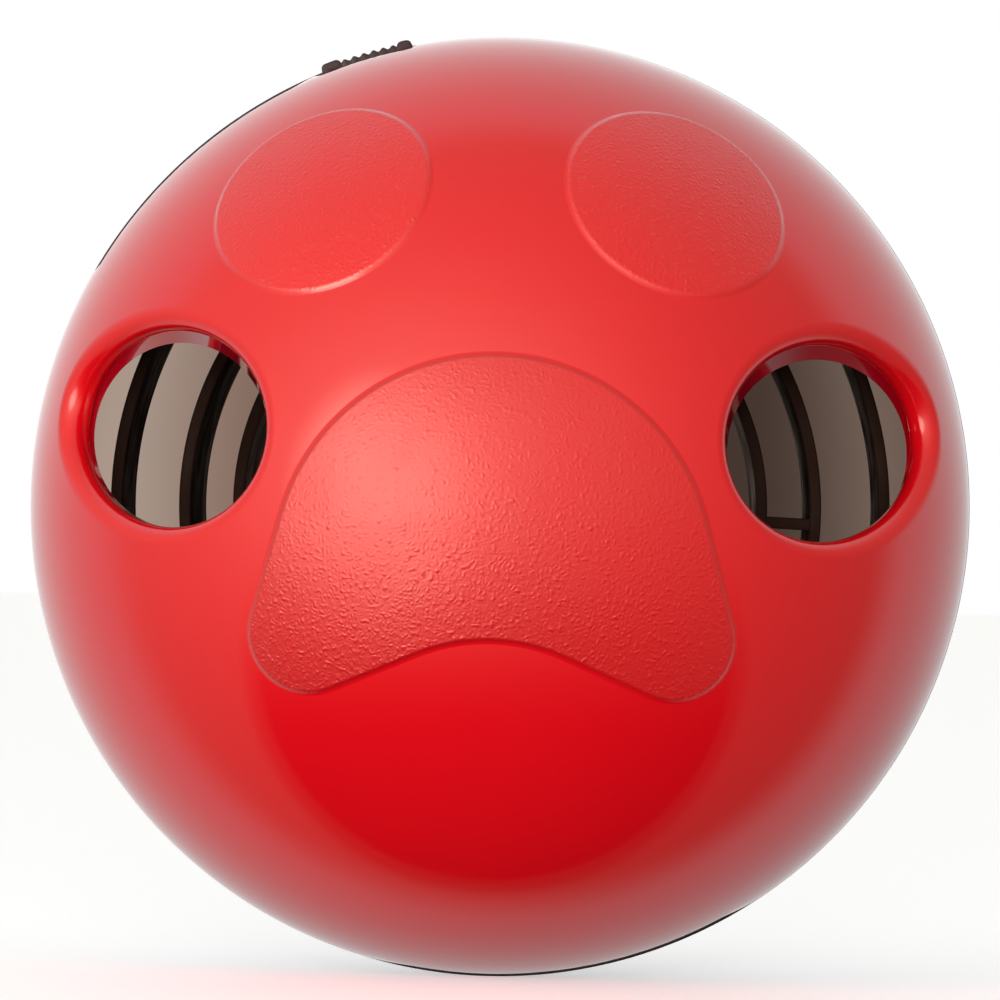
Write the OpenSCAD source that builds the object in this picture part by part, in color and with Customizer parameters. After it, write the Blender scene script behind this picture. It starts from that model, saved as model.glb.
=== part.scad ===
// Treat dispensing ball: an opaque front shell with a paw in relief and two openings,
// a see-through rear shell, an adjuster that slides two shutters over the openings,
// and a maze of round walls that the treats have to roll out of.
// The ball's axis runs along Y, the paw faces -Y, Z is up and the origin is the ball's centre.
// Every module is drawn about a vertical axis with the front pole up, and then laid down.
// Angles are measured round the ball's axis, seen from the front, anticlockwise from the right.

/* [Ball] */
// Outside diameter of the ball
ball_d = 130; // [124:1:140]
// Wall of the opaque front shell
front_wall = 3; // [2.6:0.1:3.4]
// Wall of the see-through rear shell
rear_wall = 2.5; // [2.2:0.1:2.9]
// Gap on each side of the adjuster ring at the seam
seam_gap = 0.15; // [0.1:0.05:0.3]

/* [Dispensing openings] */
// Bore of each opening, cut parallel to the ball's axis
opening_d = 24.8; // [18:0.2:26]
// Distance of each opening's outer edge from the ball's outline
opening_edge_gap = 8.6; // [7.6:0.2:10]
// Angle of the openings above the horizontal
opening_lift = 12; // [8:1:15]
// Width of the collar round each opening, inside the shell
collar_w = 2.2; // [1.6:0.1:3]
// How far the collar stands in from the shell
collar_depth = 1.5; // [1:0.1:2]

/* [Paw relief] */
// Height of the relief over the ball's surface
relief_h = 0.35; // [0.2:0.05:0.6]
// Radius of each raised toe
toe_r = 15.3; // [12:0.1:16]
// Distance of each toe's middle from the ball's outline
toe_edge_gap = 17.2; // [16:0.1:20]
// Angle of the toes above the horizontal
toe_lift = 60; // [56:1:66]
// Lean of each toe's outline away from the ball's axis
toe_lean = 20; // [0:1:24]
// Turn of the two toes round the ball's axis
toe_turn = 0.7; // [-2:0.1:2]
// Height of the top of the pad over the ball's axis
pad_top = 20; // [17:0.5:22]
// Radius of the pad's round top
pad_top_r = 29; // [26:0.5:32]
// Radius of the pad's two lower lobes
pad_lobe_r = 8; // [6:0.5:9]
// Distance of each lobe's centre from the middle
pad_lobe_x = 24; // [22:0.5:26]
// Depth of the lobes' centres under the ball's axis
pad_lobe_z = 17; // [15:0.5:19]
// Radius of the arch between the lobes
pad_arch_r = 24.5; // [20:0.5:27]
// Depth of the arch's crown under the ball's axis
pad_arch_z = 17.5; // [16:0.5:20]

/* [Rim reliefs] */
// How far the front rim is cut back under the thumb
grip_depth = 0.3; // [0.1:0.05:0.6]
// Length of the cut-back along the ball's axis
grip_len = 10.5; // [8:0.5:14]
// Start of the lower finger relief
grip_low_from = 253; // [245:1:256]
// End of the lower finger relief
grip_low_to = 305; // [298:1:310]

/* [Adjuster] */
// Width of the ring that shows at the seam
ring_w = 6; // [5:0.5:8]
// How far the ring stands proud of the ball
ring_proud = 0.15; // [0.05:0.05:0.3]
// Radial running clearance between the ring and the tongues it turns on
pilot_gap = 0.08; // [0.04:0.01:0.1]
// Angle between each open shutter and its opening
shutter_clear = 2.9; // [1:0.1:6]
// Angle by which each shutter overlaps its opening, either side, when closed
shutter_margin = 2.4; // [1:0.2:3.4]
// Wall of each shutter
shutter_t = 1.4; // [1:0.1:1.6]
// Gap between each shutter and the collars that it slides under
shutter_gap = 0.4; // [0.2:0.05:0.6]
// Reach of each shutter past the openings, toward the pole
shutter_reach = 2.5; // [1:0.5:5]
// Width of the flange that joins each shutter to the ring
flange_w = 2; // [1.5:0.25:3]
// Gap between a shutter's flange and the tongues that stop it, as an angle
stop_gap = 0.5; // [0.3:0.1:0.8]

/* [Thumb tab] */
// Angle of the tab's middle at rest
tab_at = 107.8; // [104.3:0.5:109.8]
// Length of the tab round the seam
tab_len = 13; // [11:0.2:14]
// Depth to which the tab is let into the ring
tab_let_in = 1.1; // [0.6:0.1:1.5]
// Height of the tab's floor between its ribs over the ball's surface
tab_floor = 0.42; // [0.3:0.02:0.6]
// Height of each rib over the tab's floor
rib_h = 0.34; // [0.2:0.02:0.6]
// Distance between ribs
rib_pitch = 1.38; // [1.1:0.01:1.5]
// Width of the bare floor between ribs
rib_gap = 0.12; // [0.08:0.02:0.3]
// Number of ribs
rib_count = 6; // [4:1:6]
// Height of the raised ends over the tab's floor
tab_end_h = 0.7; // [0.4:0.05:1]
// Length of the raised end that leads when the tab is pushed to close
tab_end_long = 2.2; // [1.8:0.1:2.3]
// Length of the other raised end
tab_end_short = 1.7; // [1.4:0.1:1.8]

/* [Closure] */
// Radial thickness of the tongues that the rear shell locks on
tongue_t = 3.2; // [3:0.1:3.6]
// Step from the front shell's inside in to the tongues' outside
tongue_inset = 0.2; // [0.1:0.05:0.4]
// Reach of the tongues behind the adjuster ring
tongue_reach = 6.7; // [6.2:0.1:8]
// Length of each tongue's root inside the front shell
tongue_root = 6; // [4:0.5:8]
// Gap between the tongues and the rear shell
tongue_gap = 0.3; // [0.2:0.05:0.4]
// Width of each lug, as an angle
lug_angle = 8; // [6:0.5:9]
// Thickness of each lug along the axis
lug_t = 2; // [1.6:0.1:2.4]
// Distance of the lugs behind the rear shell's rim
lug_back = 2.2; // [2:0.1:2.6]
// Depth to which the lugs reach into the tongues
lug_reach = 1.8; // [1.5:0.1:2]
// Clearance round each lug in its slot
lug_gap = 0.2; // [0.15:0.05:0.3]
// Turn that locks the rear shell
lock_turn = 20; // [14:1:21]
// Angle between a tongue's end and its nearest slot
slot_margin = 4; // [3:0.5:6]

/* [Maze] */
// Gap between the tongues and the outer maze wall
maze_side_gap = 4.5; // [4:0.1:8]
// Width of the channel between the outer and the middle wall
outer_channel_w = 7.9; // [6:0.1:10]
// Width of the channel between the middle and the inner wall
inner_channel_w = 5.9; // [5:0.1:10]
// Thickness of the maze walls and dividers
maze_t = 1.6; // [1.2:0.1:2]
// Distance of the maze's front edge behind the ball's middle
maze_front = 1; // [0:0.5:4]
// Gap between the maze and the rear shell
maze_gap = 0.3; // [0.2:0.05:0.5]
// Width of the doorway in each maze wall
door_w = 18; // [12:1:20]
// Width of each key that holds the maze from turning
key_w = 4; // [3:0.5:5]
// Depth to which the keys reach into the tongues
key_reach = 0.7; // [0.4:0.1:0.9]
// Clearance round each key
key_gap = 0.2; // [0.15:0.05:0.3]
// Distance of the keys behind the maze's front edge
key_front = 2; // [1:0.5:4]
// Length of the keys along the axis
key_len = 11; // [8:0.5:14]

/* [Hidden] */
$fn = 96;

opaque_red = [0.87, 0.12, 0.11];
clear_smoke = [0.36, 0.33, 0.30, 0.55];

// Length by which cutting shapes run past what they cut
past = 1;

ball_r = ball_d / 2;
front_in = ball_r - front_wall;
rear_in = ball_r - rear_wall;

// Places along the axis, behind the front shell's rim
ring_from = seam_gap;
ring_to = ring_from + ring_w;
rear_from = ring_to + seam_gap;
tongue_to = rear_from + tongue_reach;
lug_from = rear_from + lug_back;
lug_to = lug_from + lug_t;

// Shutters, worked out from the openings that they cover
opening_r = opening_d / 2;
opening_offset = ball_r - opening_edge_gap - opening_r;
opening_half = asin(opening_r / opening_offset);
adjust_travel = 2 * opening_half + shutter_margin + shutter_clear;
shutter_half = opening_half + shutter_margin;
shutter_out = front_in - collar_depth - shutter_gap;
shutter_in = shutter_out - shutter_t;
shutter_tip = asin((opening_offset - opening_r - shutter_reach) / shutter_out);
right_shutter_at = opening_lift - adjust_travel;
left_shutter_at = 180 - opening_lift - adjust_travel;

// Tongues fill the sectors that the shutters never enter, and stop them at both ends
top_tongue_from = right_shutter_at + shutter_half + adjust_travel + stop_gap;
top_tongue_to = left_shutter_at - shutter_half - stop_gap;
low_tongue_from = left_shutter_at + shutter_half + adjust_travel + stop_gap;
low_tongue_to = 360 + right_shutter_at - shutter_half - stop_gap;
tongue_out = front_in - tongue_inset;
tongue_in = tongue_out - tongue_t;
tongue_tip_out = sqrt(pow(rear_in - tongue_gap, 2) - pow(tongue_to, 2));

ring_in = tongue_out + pilot_gap;
ring_out = ball_r + ring_proud;
ring_edge = 0.3;

// Lugs stand in the mouths of their slots at rest, and turn into the slots to lock
lug_in = tongue_out - lug_reach;
slot_floor = lug_in - lug_gap;
lug_gap_angle = atan(lug_gap / lug_in);
slot_mouth = lug_angle + 2 * lug_gap_angle;
slot_span = slot_mouth + lock_turn;
slot_starts = [
    top_tongue_from + slot_margin,
    top_tongue_to - slot_margin - slot_span,
    low_tongue_from + slot_margin,
    (low_tongue_from + low_tongue_to - slot_span) / 2,
    low_tongue_to - slot_margin - slot_span
];

// Keys stand midway between two slots
key_out = tongue_in + key_reach;
key_at = [
    (slot_starts[0] + slot_span + slot_starts[1]) / 2,
    (slot_starts[2] + slot_span + slot_starts[3]) / 2
];
key_from = maze_front + key_front;

// Walls, doorways and dividers of the maze
maze_outer_r = tongue_in - maze_side_gap;
maze_middle_r = maze_outer_r - maze_t - outer_channel_w;
maze_inner_r = maze_middle_r - maze_t - inner_channel_w;
outer_door_at = 270;
middle_door_at = 90;
inner_door_at = 270;
outer_dividers_at = [40, 200, 320];
inner_dividers_at = [-2, 118, 238];
maze_limit = rear_in - maze_gap;

tab_half = asin(tab_len / 2 / ball_r);
tab_base_r = ball_r + tab_floor;
tab_seat = ball_r - tab_let_in;

grip_top_from = tab_at + tab_half;
grip_top_to = tab_at + tab_half + adjust_travel;

// Lays a shape that stands on the ball's axis down along Y, with its front pole toward -Y
module lay_down() {
    rotate([90, 0, 0]) children();
}

// Part of a round bar with a rectangular section, between two angles and two heights
module sector(from, to, r_in, r_out, z_low, z_high) {
    rotate([0, 0, from])
        rotate_extrude(angle = to - from)
            translate([r_in, z_low])
                square([r_out - r_in, z_high - z_low]);
}

// Part of a revolved outline between two angles
module turned(from, to, outline) {
    rotate([0, 0, from])
        rotate_extrude(angle = to - from)
            polygon(outline);
}

// Hollow ball between two radii
module hollow_ball(r_out, r_in) {
    difference() {
        sphere(r = r_out);
        sphere(r = r_in);
    }
}

// Points along an arc from one angle to another, both ends included
function arc(centre, r, from, to, steps) =
    [for (i = [0:steps]) centre + r * [cos(from + (to - from) * i / steps), sin(from + (to - from) * i / steps)]];

// Outline of the pad: a round top, two lobes and an arch, joined by the lines that touch them
pad_top_c = [0, pad_top - pad_top_r];
pad_lobe_c = [pad_lobe_x, -pad_lobe_z];
pad_arch_c = [0, -pad_arch_z - pad_arch_r];
top_to_lobe = pad_lobe_c - pad_top_c;
side_normal = atan2(top_to_lobe[1], top_to_lobe[0]) + acos((pad_top_r - pad_lobe_r) / norm(top_to_lobe));
arch_to_lobe = pad_lobe_c - pad_arch_c;
arch_normal = atan2(arch_to_lobe[1], arch_to_lobe[0]) + acos((pad_arch_r + pad_lobe_r) / norm(arch_to_lobe));
right_half = concat(
    arc(pad_arch_c, pad_arch_r, 90, arch_normal, 6),
    arc(pad_lobe_c, pad_lobe_r, arch_normal - 180, side_normal, 12),
    arc(pad_top_c, pad_top_r, side_normal, 90, 14)
);
left_half = [for (i = [len(right_half) - 2:-1:1]) [-right_half[i][0], right_half[i][1]]];
pad_outline = concat(right_half, left_half);

// Raised toe, seen along a line that leans away from the ball's axis
module toe_block(at) {
    toe_offset = ball_r - toe_edge_gap;
    toe_height = sqrt(pow(ball_r, 2) - pow(toe_offset, 2));
    rotate([0, 0, at])
        translate([toe_offset, 0, toe_height])
            rotate([0, toe_lean, 0])
                cylinder(r = toe_r, h = 2 * ball_r, center = true);
}

// Paw in relief, thick enough to run into the shell under it
module paw_relief() {
    relief_root = front_wall / 4;
    intersection() {
        hollow_ball(ball_r + relief_h, ball_r - relief_root);
        union() {
            linear_extrude(height = 2 * ball_r) polygon(pad_outline);
            intersection() {
                union() {
                    toe_block(toe_turn + toe_lift);
                    toe_block(toe_turn + 180 - toe_lift);
                }
                translate([0, 0, tongue_root])
                    cylinder(r = 2 * ball_r, h = 2 * ball_r);
            }
        }
    }
}

// One of the two tongues behind the front rim that carry the adjuster and the rear shell
module tongue(from, to) {
    wall_middle = front_in + front_wall / 2;
    turned(from, to, [
        [tongue_in, tongue_root],
        [wall_middle, tongue_root],
        [wall_middle, 0],
        [tongue_out, 0],
        [tongue_out, -rear_from],
        [tongue_tip_out, -tongue_to],
        [tongue_in, -tongue_to]
    ]);
}

// Slot for one lug: a mouth open to the rear, and a run that the lug turns into
module lug_slot(from) {
    run_low = -lug_to - lug_gap;
    run_high = -lug_from + lug_gap;
    sector(from, from + slot_mouth, slot_floor, tongue_out + past, -tongue_to - past, run_high);
    sector(from, from + slot_span, slot_floor, tongue_out + past, run_low, run_high);
}

// Groove for one key of the maze, open to the rear
module key_groove(at) {
    groove_w = key_w + 2 * key_gap;
    groove_to = tongue_to + past;
    groove_from = key_from - key_gap;
    rotate([0, 0, at])
        translate([tongue_in - past, -groove_w / 2, -groove_to])
            cube([past + key_reach + key_gap, groove_w, groove_to - groove_from]);
}

// Shallow cut-back of the front rim that bares the ring under a thumb
module grip_relief(from, to) {
    rim_r = ball_r - grip_depth;
    end_r = sqrt(pow(ball_r, 2) - pow(grip_len, 2));
    slope = (end_r - rim_r) / grip_len;
    turned(from, to, [
        [rim_r, -past],
        [ball_r + past, -past],
        [ball_r + past, grip_len + past],
        [end_r + slope * past, grip_len + past],
        [rim_r, 0]
    ]);
}

// Bore of one opening, parallel to the ball's axis
module opening_bore(at) {
    rotate([0, 0, at])
        translate([opening_offset, 0, 0])
            cylinder(r = opening_r, h = 2 * ball_r);
}

// Collar that stiffens the thin edge of one opening from inside
module opening_collar(at) {
    intersection() {
        hollow_ball(front_in + front_wall / 2, front_in - collar_depth);
        rotate([0, 0, at])
            translate([opening_offset, 0, 0])
                cylinder(r = opening_r + collar_w, h = 2 * ball_r);
    }
}

// Opaque front half with the paw, the openings and the tongues
module front_shell() {
    color(opaque_red)
        lay_down()
            difference() {
                union() {
                    difference() {
                        sphere(r = ball_r);
                        sphere(r = front_in);
                        translate([0, 0, -2 * ball_r]) cylinder(r = 2 * ball_r, h = 2 * ball_r);
                    }
                    paw_relief();
                    opening_collar(opening_lift);
                    opening_collar(180 - opening_lift);
                    tongue(top_tongue_from, top_tongue_to);
                    tongue(low_tongue_from, low_tongue_to);
                }
                opening_bore(opening_lift);
                opening_bore(180 - opening_lift);
                grip_relief(grip_top_from, grip_top_to);
                grip_relief(grip_low_from, grip_low_to);
                for (start = slot_starts) lug_slot(start);
                for (at = key_at) key_groove(at);
            }
}

// Ring that turns on the tongues, with a pocket for the thumb tab
module adjuster_ring() {
    rear_edge_r = sqrt(pow(ball_r, 2) - pow(ring_to, 2)) + ring_proud;
    color(clear_smoke)
        lay_down()
            difference() {
                rotate_extrude()
                    polygon([
                        [ring_in, -ring_from],
                        [ring_out - ring_edge, -ring_from],
                        [ring_out, -ring_from - ring_edge],
                        [ring_out, -ring_from - ring_w / 3],
                        [rear_edge_r, -ring_to + ring_edge],
                        [rear_edge_r - ring_edge, -ring_to],
                        [ring_in, -ring_to]
                    ]);
                sector(tab_at - tab_half, tab_at + tab_half, tab_seat, ring_out + past,
                       -ring_to - past, -ring_from + past);
            }
}

// Ribbed thumb tab, let into the ring
module thumb_tab() {
    first_rib = -(rib_count - 1) / 2;
    rib_row_shift = (tab_end_short - tab_end_long) / 2;
    long_end = 2 * asin(tab_end_long / 2 / ball_r);
    short_end = 2 * asin(tab_end_short / 2 / ball_r);
    rib_half = (rib_pitch - rib_gap) / 2;
    rib_root = tab_let_in / 4;
    root_half = rib_half * (rib_h + rib_root) / rib_h;
    color(clear_smoke)
        lay_down()
            union() {
                sector(tab_at - tab_half, tab_at + tab_half, tab_seat, tab_base_r, -ring_to, -ring_from);
                sector(tab_at + tab_half - long_end, tab_at + tab_half, tab_seat, tab_base_r + tab_end_h,
                       -ring_to, -ring_from);
                sector(tab_at - tab_half, tab_at - tab_half + short_end, tab_seat, tab_base_r + tab_end_h,
                       -ring_to, -ring_from);
                for (i = [0:rib_count - 1])
                    rotate([0, 0, tab_at + asin(((first_rib + i) * rib_pitch + rib_row_shift) / ball_r)])
                        translate([0, 0, -ring_to])
                            linear_extrude(height = ring_w)
                                polygon([
                                    [tab_base_r - rib_root, -root_half],
                                    [tab_base_r + rib_h, 0],
                                    [tab_base_r - rib_root, root_half]
                                ]);
            }
}

// Curved shutter that slides under the front shell, with the flange that joins it to the ring
module shutter(at) {
    from = at - shutter_half;
    to = at + shutter_half;
    color(clear_smoke)
        lay_down()
            union() {
                intersection() {
                    hollow_ball(shutter_out, shutter_in);
                    turned(from, to, [
                        [shutter_in * sin(shutter_tip) / 2, shutter_in * cos(shutter_tip) / 2],
                        [2 * shutter_out * sin(shutter_tip), 2 * shutter_out * cos(shutter_tip)],
                        [2 * shutter_out, -ring_from - flange_w],
                        [shutter_in / 2, -ring_from - flange_w]
                    ]);
                }
                sector(from, to, shutter_out - shutter_t / 2, ring_in, -ring_from - flange_w, -ring_from);
            }
}

module shutter_right() {
    shutter(right_shutter_at);
}

module shutter_left() {
    shutter(left_shutter_at);
}

// Round wall of the maze, with a doorway cut through it and its rear end shaped to the shell
module maze_wall(r_out, door_at) {
    r_in = r_out - maze_t;
    door_half = asin(door_w / 2 / r_out);
    color(clear_smoke)
        lay_down()
            union() {
                intersection() {
                    sphere(r = maze_limit);
                    sector(door_at + door_half, door_at + 360 - door_half, r_in, r_out, -ball_r, -maze_front);
                }
                children();
            }
}

// Key on the outside of the outer wall, which a groove in a tongue holds
module maze_key(at) {
    root = maze_outer_r - maze_t / 2;
    rotate([0, 0, at])
        translate([root, -key_w / 2, -key_from - key_len])
            cube([key_out - root, key_w, key_len]);
}

module maze_wall_outer() {
    maze_wall(maze_outer_r, outer_door_at)
        for (at = key_at) maze_key(at);
}

module maze_wall_middle() {
    maze_wall(maze_middle_r, middle_door_at);
}

module maze_wall_inner() {
    maze_wall(maze_inner_r, inner_door_at);
}

// Flat divider that closes the channel between two maze walls
module maze_divider(at, r_in, r_out) {
    intersection() {
        sphere(r = maze_limit);
        difference() {
            translate([0, 0, -ball_r]) cylinder(r = r_out, h = ball_r - maze_front);
            translate([0, 0, -ball_r - past]) cylinder(r = r_in, h = ball_r + 2 * past);
        }
        rotate([0, 0, at])
            translate([0, -maze_t / 2, -ball_r])
                cube([ball_r, maze_t, ball_r]);
    }
}

module maze_dividers() {
    color(clear_smoke)
        lay_down() {
            for (at = inner_dividers_at) maze_divider(at, maze_inner_r, maze_middle_r - maze_t);
            for (at = outer_dividers_at) maze_divider(at, maze_middle_r, maze_outer_r - maze_t);
        }
}

// See-through rear half with the lugs that lock it on the tongues
module rear_shell() {
    color(clear_smoke)
        lay_down()
            union() {
                difference() {
                    sphere(r = ball_r);
                    sphere(r = rear_in);
                    translate([0, 0, -rear_from]) cylinder(r = 2 * ball_r, h = 2 * ball_r);
                }
                intersection() {
                    sphere(r = ball_r - rear_wall / 2);
                    for (start = slot_starts)
                        sector(start + lug_gap_angle, start + lug_gap_angle + lug_angle,
                               lug_in, 2 * ball_r, -lug_to, -lug_from);
                }
            }
}

front_shell();
adjuster_ring();
thumb_tab();
shutter_right();
shutter_left();
maze_wall_outer();
maze_wall_middle();
maze_wall_inner();
maze_dividers();
rear_shell();
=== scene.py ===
import math
from collections import namedtuple

import bmesh
import bpy
import numpy as np
from mathutils import Matrix, Vector
from mathutils.geometry import delaunay_2d_cdt
from mathutils.kdtree import KDTree


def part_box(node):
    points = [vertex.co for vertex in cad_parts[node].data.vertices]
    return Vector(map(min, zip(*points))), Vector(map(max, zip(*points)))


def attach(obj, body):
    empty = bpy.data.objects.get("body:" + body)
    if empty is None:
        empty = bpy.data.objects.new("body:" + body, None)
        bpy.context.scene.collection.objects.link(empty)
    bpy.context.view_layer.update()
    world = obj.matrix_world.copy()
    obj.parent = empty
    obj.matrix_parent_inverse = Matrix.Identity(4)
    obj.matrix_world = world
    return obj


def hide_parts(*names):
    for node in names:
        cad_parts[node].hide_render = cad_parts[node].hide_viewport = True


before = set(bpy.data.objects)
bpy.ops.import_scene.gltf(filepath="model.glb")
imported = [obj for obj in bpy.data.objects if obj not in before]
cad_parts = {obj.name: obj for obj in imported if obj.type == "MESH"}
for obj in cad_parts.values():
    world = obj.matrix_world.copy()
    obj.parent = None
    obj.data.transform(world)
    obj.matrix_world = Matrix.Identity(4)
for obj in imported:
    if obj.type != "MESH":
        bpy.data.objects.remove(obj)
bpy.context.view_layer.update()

# Sizes are in millimetres and angles in degrees, both as the CAD model has them.
# Angles go round the ball's axis, seen from the front, anticlockwise from the right.
MM = 0.001

# Front shell
BALL_R = 65.0
FRONT_IN_R = 62.0
RIM_ROUND = 0.3
RIM_STEPS = 480
RIM_ROUND_STEPS = 5

# Mesh of the front shell: the step between the points that fill it and how clear of the fixed lines they
# stay, outside and inside, and how close points lie that count as one
OUTSIDE_STEP = 1.6
OUTSIDE_CLEAR = 0.8
INSIDE_STEP = 3.0
INSIDE_CLEAR = 1.6
MESH_CLOSE = 1e-6
WELD_CLOSE = 2e-3

# Openings, the right one first, with their lips and the collars inside
OPENING_R = 12.4
OPENING_OFFSET = 44.0
OPENING_ANGLES = (12, 168)
OPENING_BORES = ("right_bore", "left_bore")
LIP_R = 2.2
LIP_STEPS = 144
LIP_ROWS = 10
LIP_EDGE = 0.15
COLLAR_W = 2.2
COLLAR_IN_R = 60.5
COLLAR_EDGE = 0.3

# Bores: how much wider they start, how much higher their roof starts, and how far their inner ends are moved,
# right and up
BORE_FLARE = 0.4
BORE_ROOF_RISE = 0.8
BORE_ENDS_MOVED = ((-0.1, -0.85), (0.5, -0.5))

# Paw relief, 0.05 lower than in the CAD model, with its edge softened over a width. Rows of points run along
# the edge, this far inside it.
RELIEF_H = 0.3
RELIEF_EDGE_W = 1.1
TOE_R = 15.3
TOE_OFFSET = 47.8
TOE_ANGLES = (60.7, 120.7)
TOE_LEAN = 20
PAD_TOP = 20.0
PAD_TOP_R = 29.0
PAD_LOBE_R = 8.0
PAD_LOBE_X = 24.0
PAD_LOBE_Z = 17.0
PAD_ARCH_R = 24.5
PAD_ARCH_Z = 17.5
EDGE_ROWS = (-0.55, -0.36, -0.18, 0, 0.18, 0.36, 0.55)
OUTLINE_STEP = 0.25
EDGE_STEP = 0.75

# Reliefs in the front rim, under the tab, along its way and under the fingers:
# depth, start, full from, full to and end
GRIP_LEN = 10.5
GRIPS = (
    (0.45, 101.9, 102.3, 113.2, 115.0),
    (0.3, 113.54, 119.3, 149.3, 151.58),
    (0.3, 253, 264, 298, 305),
)

# Angle over which the slope of these reliefs is taken, in radians
SLOPE_STEP = 1e-3

# Tongues: faces of the CAD node that reach ahead of their start, or lie this close to the dome's inside or
# rim, are left to front_dome
TONGUE_FROM = -6.05
TONGUE_CLOSE = 0.02
TONGUE_WELD = 0.002
TONGUE_SHARP = 30

# Adjuster
RING_FROM = 0.15
RING_TO = 6.15
RING_IN_R = 61.88
RING_OUT_R = 65.15
RING_REAR_R = 64.86
RING_ROUND = 0.3
TAB_AT = 107.8
TAB_LEN = 13.0
TAB_FLOOR = 0.42
TAB_RIB_H = 0.38
TAB_RIB_PITCH = 1.38
TAB_RIBS = 6
TAB_END_LONG_H = 0.72
TAB_END_SHORT_H = 0.68
TAB_END_LONG = 2.9
TAB_END_SHORT = 2.1
TAB_END_ROUND = 0.8
TAB_EDGE_ROUND = 0.2
TAB_MARGIN = 0.4
TAB_STEPS = 140
RING_STEPS = 330
RING_ROUND_STEPS = 4
RING_WIDE_TO = 2.15
SHUTTER_OUT_R = 60.1
SHUTTER_IN_R = 58.7
SHUTTER_HALF = 18.77
SHUTTER_TIP = 28.96
SHUTTER_ANGLES = (-26.04, 129.96)
SHUTTER_STEPS = 40
SHUTTER_TURN = 1.0
FLANGE_TO = 2.15
FLANGE_OVERLAP = 0.3

# Maze
MAZE_FRONT = 1.0
MAZE_WALLS = ((54.1, 270), (44.6, 90), (37.1, 270))
MAZE_T = 1.6
MAZE_LIMIT_R = 62.2
DOOR_W = 18.0
DIVIDERS = ((-2, 37.1, 43.0), (118, 37.1, 43.0), (238, 37.1, 43.0),
            (40, 44.6, 52.5), (200, 44.6, 52.5), (320, 44.6, 52.5))
KEY_ANGLES = (70.98, 228.22)
KEY_OUT_R = 59.3
KEY_FROM = 3.0
KEY_TO = 14.0
KEY_W = 4.0
MAZE_OVERLAP = 0.2

# Rear shell
REAR_FROM = 6.3
REAR_IN_R = 62.5
REAR_STEPS = 64
LUG_STARTS = (35.46, 78.5, 191.46, 236.98, 282.5)
LUG_IN_R = 60.0
LUG_INSET = 0.2
LUG_FROM = 8.5
LUG_TO = 10.5
LUG_ANGLE = 8
LUG_TURN = 2.0

# Maze and rear shell: angle between the sections of a wall that is turned, and the rounding of sharp edges
WALL_TURN = 1.5
BEVEL_W = 0.3
BEVEL_STEPS = 3
BEVEL_ANGLE = 35

# Points of the adjuster, maze or rear shell that are closer than this are joined
JOIN_CLOSE = 1e-4

# Finishes of the front shell: the two reds that are mixed, the specular level, the coat, the roughness of the
# plastic and its coat, and the strength of the grain high on the ball. The pad's darker reds and the bores'
# dark reds are painted shade; the left bore's strong specular and coat and the right bore's weak specular are
# a lit and a shaded copy of one finish, painted sheen in the left opening and painted shade in the right.
Finish = namedtuple("Finish", "reds specular coat roughness grain_top")
SKIN_REDS = ((0.73, 0.003, 0.009), (0.77, 0.004, 0.010))
# Painted shade: the pad's reds are darker than the skin's, to tone down the soft box's glow on the pad
PAD_PAINTED_SHADE_REDS = ((0.51, 0.003, 0.007), (0.66, 0.004, 0.008))
TOE_REDS = ((0.69, 0.003, 0.007), (0.74, 0.004, 0.008))
# Painted shade: the bore walls' dark crimson stands for the shade inside the openings
BORE_PAINTED_SHADE_REDS = ((0.25, 0.002, 0.010), (0.28, 0.002, 0.012))
FINISHES_AND_PAINTED_SHADE = {
    "gloss": Finish(SKIN_REDS, 0.5, 0.0, 0.06, 1.0),
    "lip": Finish(SKIN_REDS, 0.5, 0.0, 0.13, 1.0),
    "pad": Finish(PAD_PAINTED_SHADE_REDS, 0.8, 0.0, 0.06, 0.5),
    "toes": Finish(TOE_REDS, 0.8, 0.0, 0.06, 1.1),
    # The right bore's weak specular and the left bore's strong specular with a coat: a shaded and a lit copy
    # of one finish
    "right_bore": Finish(BORE_PAINTED_SHADE_REDS, 0.2, 0.0, 0.06, 1.0),
    "left_bore": Finish(BORE_PAINTED_SHADE_REDS, 0.9, 0.7, 0.06, 1.0),
}

# A face with more grain than this is grained, and it belongs to a toe if it lies above this height
GRAIN_FROM = 0.25
TOES_FROM = 23.0

# Red plastic. Noises have a scale, in features to a metre, and a detail. The pad's red also changes to the
# right, between two places and two shares: painted shade, darker at the pad's left under the soft box's glow.
# The grain's strength changes upward, between two heights.
RED_IOR = 1.5
BLUSH_NOISE = (35, 3)
PAD_BLUSH_NOISE = 0.3
PAD_PAINTED_SHADE_ACROSS = (-5, 30, 0.0, 0.7)
POLISH_NOISE = (120, 4)
POLISH_RANGE = (0.3, 0.7)
POLISH_RISE = 0.03
GRAIN_ROUGHNESS = 0.32
GRAIN_DEPTH = 0.12
WRINKLE_NOISE = (1600, 1, "RIDGED_MULTIFRACTAL")
FINE_NOISE = (1700, 3)
FINE_SHARE = 0.5
GRAIN_HEIGHTS = (-22, 12)

# See-through plastics, which get darker and browner with their thickness
Smoke = namedtuple("Smoke", "base clear specular roughness wave_depth density ior")
SMOKES = {
    "smoke_plastic": Smoke((0.97, 0.965, 0.95), 1.0, 0.5, 0.02, 0.004, 400, 1.5),
    "adjuster_smoke_plastic": Smoke((0.045, 0.026, 0.032), 0.3, 0.4, 0.3, 0.004, 3000, 1.3),
    "maze_smoke_plastic": Smoke((0.03, 0.014, 0.010), 0.3, 0.2, 0.45, 0.005, 6000, 1.2),
}
SMOKE_COLOUR = (0.44, 0.23, 0.08)
SMOKE_NOISE = (150, 4)
SMOKE_ROUGHER = 1.6
WAVE_NOISE = (90, 1)

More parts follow.
